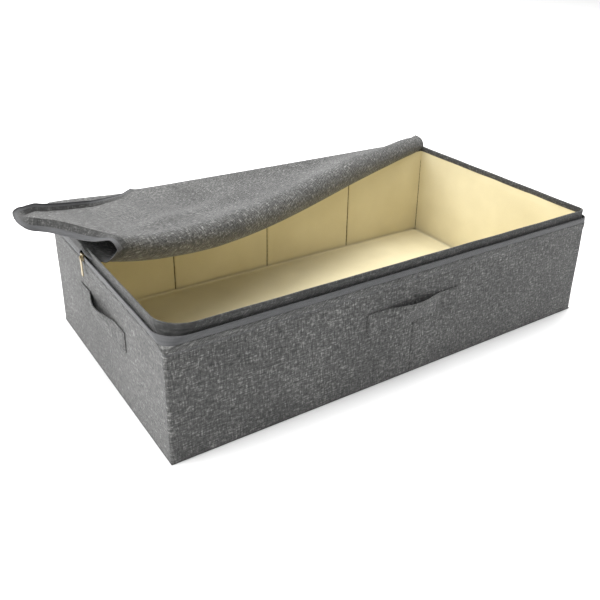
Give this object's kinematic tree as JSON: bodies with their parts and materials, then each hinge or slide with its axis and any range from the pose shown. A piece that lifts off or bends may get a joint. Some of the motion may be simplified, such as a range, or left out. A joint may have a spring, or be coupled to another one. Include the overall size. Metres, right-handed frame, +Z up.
{
  "type": "under bed box",
  "caption": "Low rectangular fabric storage box with stiffened walls, pale lining, strap handles and a zip-on cloth lid folded back diagonally.",
  "frame": {"origin": "centre of the base on the floor", "axes": "+X along the box to the right, +Y to the back wall where the lid is sewn on, +Z up"},
  "size_m": [0.9254, 0.6022, 0.2336],
  "materials": {
    "outer_fabric": "melange grey linen-look weave, matt",
    "lining": "pale cream non-woven cloth, matt",
    "cardboard": "plain grey-brown board, sewn in and unseen",
    "zip_tape": "smooth close-woven zip tape, grey",
    "zip_coil": "dark grey moulded coil",
    "slider_metal": "plated, light gold, smooth"
  },
  "bodies": {
    "box": {"back_board_1": "cardboard", "back_board_2": "cardboard", "back_board_3": "cardboard", "back_board_4": "cardboard", "box_zip_coil": "zip_coil", "box_zip_tape": "zip_tape", "front_board_1": "cardboard", "front_board_2": "cardboard", "front_board_3": "cardboard", "front_board_4": "cardboard", "front_handle_patch_a": "outer_fabric", "front_handle_patch_b": "outer_fabric", "left_board": "cardboard", "left_handle_patch_a": "outer_fabric", "left_handle_patch_b": "outer_fabric", "lid_hinge_strip": "outer_fabric", "lid_rear_left_band": "outer_fabric", "lid_rear_left_tape": "zip_tape", "lid_rear_panel": "outer_fabric", "lining_back": "lining", "lining_floor": "lining", "lining_front": "lining", "lining_left": "lining", "lining_right": "lining", "lip_front": "outer_fabric", "lip_left": "outer_fabric", "lip_right": "outer_fabric", "outer_back": "outer_fabric", "outer_bottom": "outer_fabric", "outer_front": "outer_fabric", "outer_left": "outer_fabric", "outer_right": "outer_fabric", "right_board": "cardboard", "right_handle_patch_a": "outer_fabric", "right_handle_patch_b": "outer_fabric", "zip_end_stops": "slider_metal"},
    "left_slider": {"left_slider": "slider_metal"},
    "left_pull": {"left_pull": "slider_metal"},
    "right_slider": {"right_slider": "slider_metal"},
    "right_pull": {"right_pull": "slider_metal"},
    "front_grip": {"front_handle_grip": "outer_fabric"},
    "left_grip": {"left_handle_grip": "outer_fabric"},
    "right_grip": {"right_handle_grip": "outer_fabric"},
    "base_board": {"base_board_core": "cardboard", "base_board_cover": "lining"},
    "lid_front": {"lid_front_front_band": "outer_fabric", "lid_front_front_tape": "zip_tape", "lid_front_left_band": "outer_fabric", "lid_front_left_tape": "zip_tape", "lid_front_panel": "outer_fabric"},
    "lid_drop": {"lid_drop_front_band": "outer_fabric", "lid_drop_front_tape": "zip_tape", "lid_drop_panel": "outer_fabric", "lid_drop_right_band": "outer_fabric", "lid_drop_right_tape": "zip_tape"},
    "lid_tail": {"lid_tail_front_band": "outer_fabric", "lid_tail_front_tape": "zip_tape", "lid_tail_panel": "outer_fabric", "lid_tail_right_band": "outer_fabric", "lid_tail_right_tape": "zip_tape"}
  },
  "joints": [
    {"name": "lid_close", "type": "hinge", "parent": "box", "child": "lid_front", "pos_m": [-0.4, -0.035, 0.212], "axis": [0.9545, 0.2983, 0], "range_deg": [0, 180]},
    {"name": "lid_drop_fold", "type": "hinge", "parent": "lid_front", "child": "lid_drop", "pos_m": [0, 0.229, 0.2176], "axis": [1, 0, 0], "range_deg": [0, 90]},
    {"name": "lid_tail_fold", "type": "hinge", "parent": "lid_drop", "child": "lid_tail", "pos_m": [0, 0.229, 0.0009], "axis": [-1, 0, 0], "range_deg": [0, 90]},
    {"name": "left_slider_run", "type": "slide", "parent": "box", "child": "left_slider", "axis": [0, 1, 0], "range_m": [-0.235, 0.15]},
    {"name": "left_pull_swing", "type": "hinge", "parent": "left_slider", "child": "left_pull", "pos_m": [-0.4064, 0.059, 0.185], "axis": [0, 1, 0], "range_deg": [0, 110]},
    {"name": "right_slider_run", "type": "slide", "parent": "box", "child": "right_slider", "axis": [0, -1, 0], "range_m": [0, 0.375]},
    {"name": "right_pull_swing", "type": "hinge", "parent": "right_slider", "child": "right_pull", "pos_m": [0.4064, 0.203, 0.185], "axis": [0, -1, 0], "range_deg": [0, 110]},
    {"name": "front_handle_lift", "type": "hinge", "parent": "box", "child": "front_grip", "pos_m": [0, -0.225, 0.131], "axis": [-1, 0, 0], "range_deg": [0, 60]},
    {"name": "left_handle_lift", "type": "hinge", "parent": "box", "child": "left_grip", "pos_m": [-0.4, 0, 0.131], "axis": [0, 1, 0], "range_deg": [0, 60]},
    {"name": "right_handle_lift", "type": "hinge", "parent": "box", "child": "right_grip", "pos_m": [0.4, 0, 0.131], "axis": [0, -1, 0], "range_deg": [0, 60]},
    {"name": "base_board_lift", "type": "hinge", "parent": "box", "child": "base_board", "pos_m": [0, 0.2174, 0.0019], "axis": [-1, 0, 0], "range_deg": [0, 25]}
  ],
  "couplings": [
    {"joint": "lid_drop_fold", "follows": "lid_close", "ratio": 0.5},
    {"joint": "lid_tail_fold", "follows": "lid_close", "ratio": 0.5}
  ]
}
